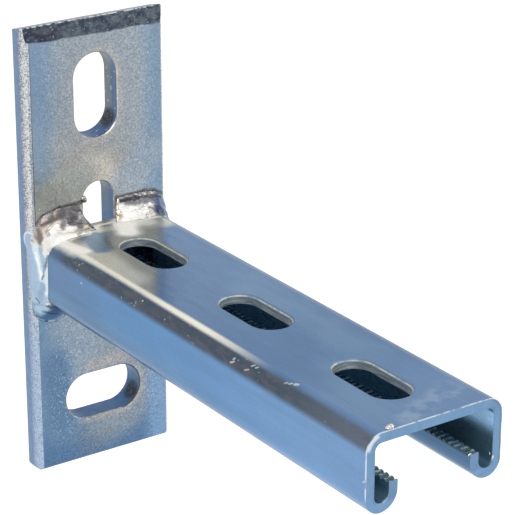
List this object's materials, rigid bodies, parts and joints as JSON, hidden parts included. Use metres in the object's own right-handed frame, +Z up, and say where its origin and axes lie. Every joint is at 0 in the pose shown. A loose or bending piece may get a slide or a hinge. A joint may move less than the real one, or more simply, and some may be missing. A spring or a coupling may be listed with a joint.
{
  "type": "cantilever strut arm",
  "caption": "Slotted strut channel arm with inturned serrated lips, open side down, fillet welded to a slotted flat bar back plate for fixing to a wall.",
  "frame": {"origin": "middle of the back plate's back face, which lies against the wall", "axes": "+X across the arm, +Y from the plate into the wall so that the arm reaches out along -Y, +Z up"},
  "size_m": [0.045, 0.161, 0.1344],
  "materials": {
    "plated_bar": "bright zinc plating over mill finish flat bar",
    "plated_strip": "bright zinc plating over roll formed strip",
    "plated_weld": "zinc plating over a rough weld bead"
  },
  "bodies": {
    "root": {"back_plate": "plated_bar", "strut_channel": "plated_strip", "weld_left": "plated_weld", "weld_right": "plated_weld"}
  },
  "joints": []
}
